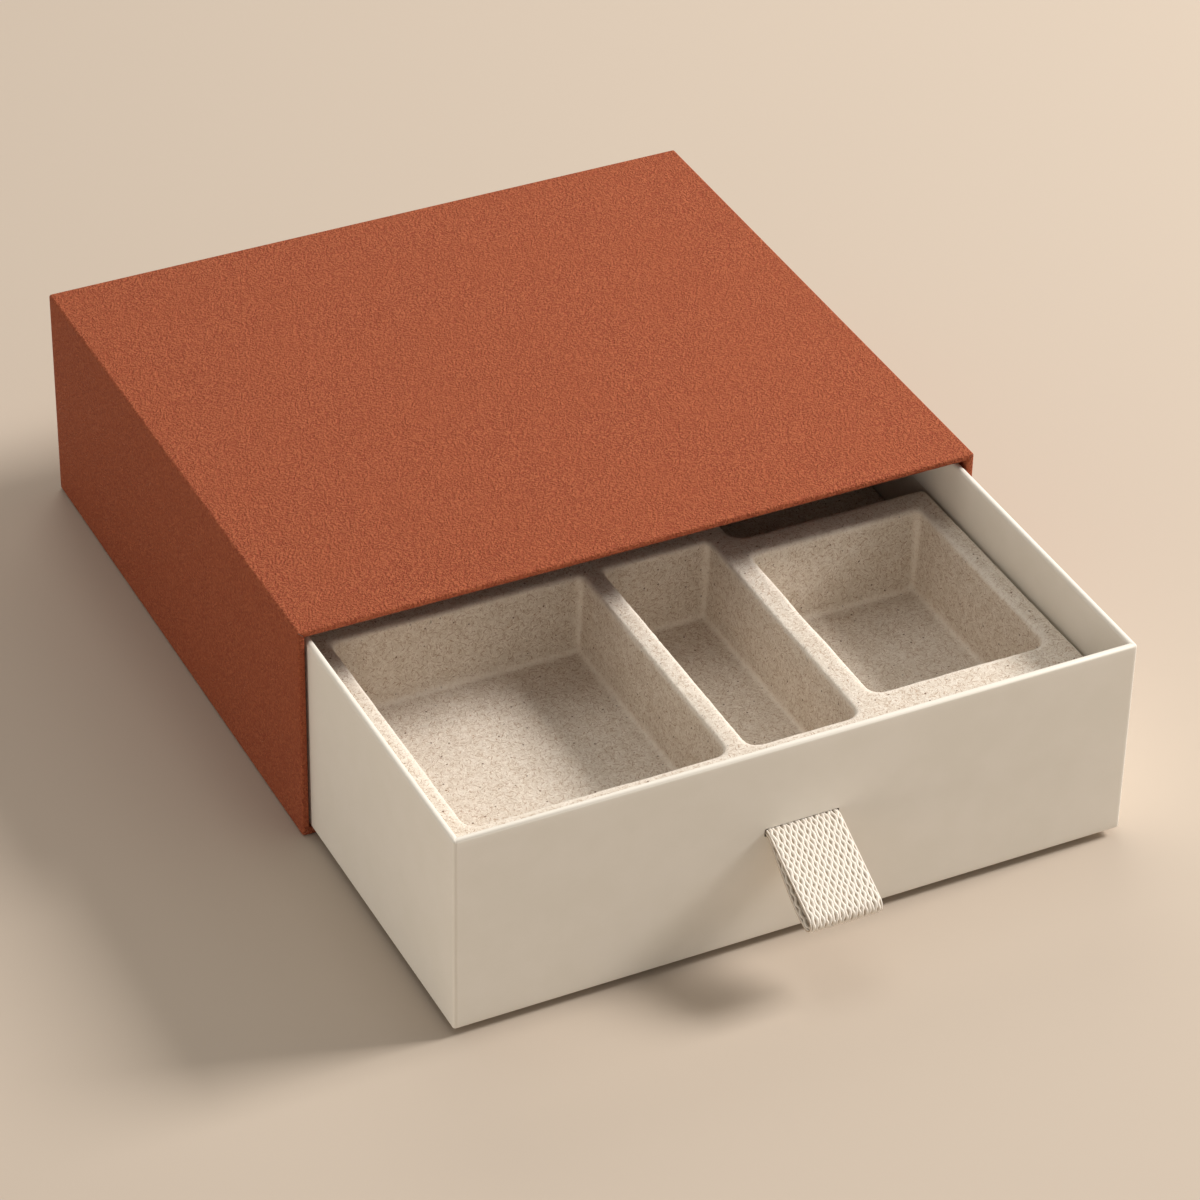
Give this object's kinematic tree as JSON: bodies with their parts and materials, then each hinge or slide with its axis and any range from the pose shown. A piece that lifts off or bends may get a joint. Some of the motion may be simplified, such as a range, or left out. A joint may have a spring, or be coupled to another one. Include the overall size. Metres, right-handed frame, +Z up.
{
  "type": "sliding drawer gift box",
  "caption": "Rigid board gift box: a paper-covered drawer with a compartmented pulp insert slides out of a closed-back sleeve by a folded webbing pull.",
  "frame": {"origin": "centre of the sleeve's underside, on the surface that the box lies on", "axes": "+X to the right along the drawer front, +Y from the drawer front towards the closed back, +Z up"},
  "size_m": [0.24, 0.3565, 0.08],
  "materials": {
    "terracotta_paper": "leather-grain embossed matt covering paper",
    "terracotta_lining": "plain matt lining paper",
    "offwhite_paper": "smooth matt covering paper",
    "greyboard": "raw greyboard",
    "paper_tape": "gummed kraft tape",
    "moulded_pulp": "moulded fibre pulp with short flecks",
    "webbing": "woven cotton webbing"
  },
  "bodies": {
    "sleeve": {"sleeve_top_board": "greyboard", "sleeve_base_board": "greyboard", "sleeve_left_board": "greyboard", "sleeve_right_board": "greyboard", "sleeve_back_board": "greyboard", "sleeve_edge_tapes": "paper_tape", "sleeve_wrap": "terracotta_paper", "sleeve_base_sheet": "terracotta_paper", "sleeve_back_sheet": "terracotta_paper", "sleeve_lining": "terracotta_lining"},
    "drawer": {"drawer_front_board": "greyboard", "drawer_back_board": "greyboard", "drawer_left_board": "greyboard", "drawer_right_board": "greyboard", "drawer_base_board": "greyboard", "drawer_corner_tapes": "paper_tape", "drawer_wrap": "offwhite_paper", "drawer_lining": "offwhite_paper", "pulp_insert": "moulded_pulp", "pull_tails": "webbing", "tail_patch": "offwhite_paper"},
    "pull": {"pull_loop": "webbing"}
  },
  "joints": [
    {"name": "drawer_slide", "type": "slide", "parent": "sleeve", "child": "drawer", "axis": [0, -1, 0], "range_m": [-0.108, 0.107]},
    {"name": "pull_flex", "type": "hinge", "parent": "drawer", "child": "pull", "pos_m": [0, -0.2185, 0.0437], "axis": [1, 0, 0], "range_deg": [-110, 45], "stiffness_Nm_per_rad": 0.005, "springref_deg": -2.29}
  ]
}
